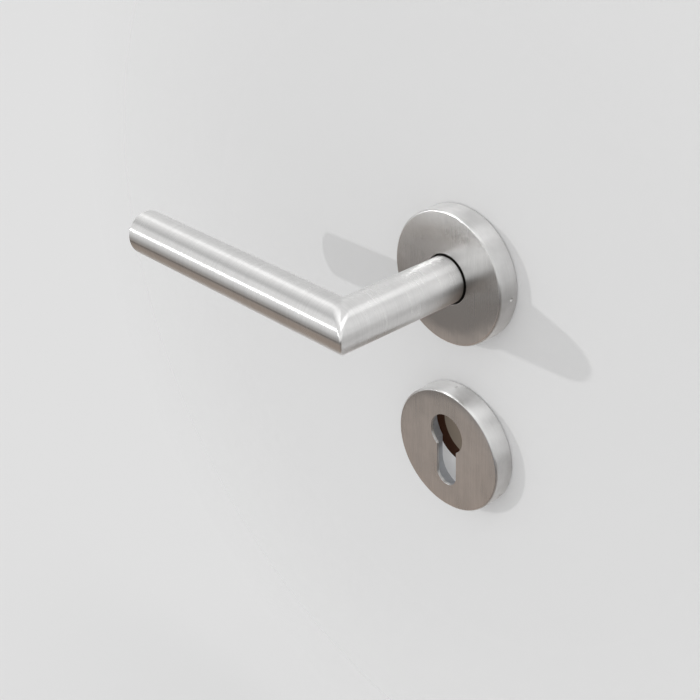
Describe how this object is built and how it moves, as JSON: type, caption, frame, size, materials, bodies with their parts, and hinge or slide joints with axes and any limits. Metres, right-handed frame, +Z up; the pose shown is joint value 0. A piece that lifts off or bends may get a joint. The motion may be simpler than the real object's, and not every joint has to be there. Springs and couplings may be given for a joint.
{
  "type": "door lever handle",
  "caption": "Tubular door lever with a mitred elbow on a round sprung rose, with its separate matching round escutcheon for a euro-profile cylinder.",
  "frame": {"origin": "where the spindle's axis meets the door's face", "axes": "+Y into the door along the spindle, +X to the right of someone who faces the handle, +Z up; the grip points to -X"},
  "size_m": [0.1515, 0.1395, 0.133],
  "materials": {
    "satin_steel": "satin stainless steel, finely brushed",
    "plain_steel": "turned steel, unpolished",
    "zinc_plated": "bright zinc-plated steel",
    "spring_steel": "oiled dark spring steel",
    "grey_nylon": "moulded glass-filled nylon, grey",
    "white_nylon": "natural white nylon"
  },
  "bodies": {
    "root": {"rose_base": "grey_nylon", "bearing_bush": "white_nylon", "return_spring": "spring_steel", "rose_bolt_left": "zinc_plated", "rose_bolt_right": "zinc_plated", "rose_sleeve_nut_left": "zinc_plated", "rose_sleeve_nut_right": "zinc_plated", "escutcheon_base": "grey_nylon", "escutcheon_bolt_left": "zinc_plated", "escutcheon_bolt_right": "zinc_plated", "escutcheon_sleeve_nut_left": "zinc_plated", "escutcheon_sleeve_nut_right": "zinc_plated"},
    "lever": {"grip_tube": "satin_steel", "grip_end_cap": "satin_steel", "neck_tube": "satin_steel", "lever_hub": "plain_steel", "grub_screw": "plain_steel", "square_spindle": "zinc_plated", "driver_plate": "spring_steel", "thrust_washer": "zinc_plated", "retaining_clip": "spring_steel"},
    "rose_cover": {"rose_cover": "satin_steel"},
    "escutcheon_cover": {"escutcheon_cover": "satin_steel"}
  },
  "joints": [
    {"name": "lever_turn", "type": "hinge", "parent": "root", "child": "lever", "pos_m": [0, 0, 0], "axis": [0, -1, 0], "range_deg": [0, 45], "stiffness_Nm_per_rad": 0.32, "springref_deg": -60.16, "deforming": ["return_spring"]},
    {"name": "rose_cover_pull", "type": "slide", "parent": "root", "child": "rose_cover", "axis": [0, -1, 0], "range_m": [0, 0.035]},
    {"name": "escutcheon_cover_pull", "type": "slide", "parent": "root", "child": "escutcheon_cover", "axis": [0, -1, 0], "range_m": [0, 0.02]}
  ]
}
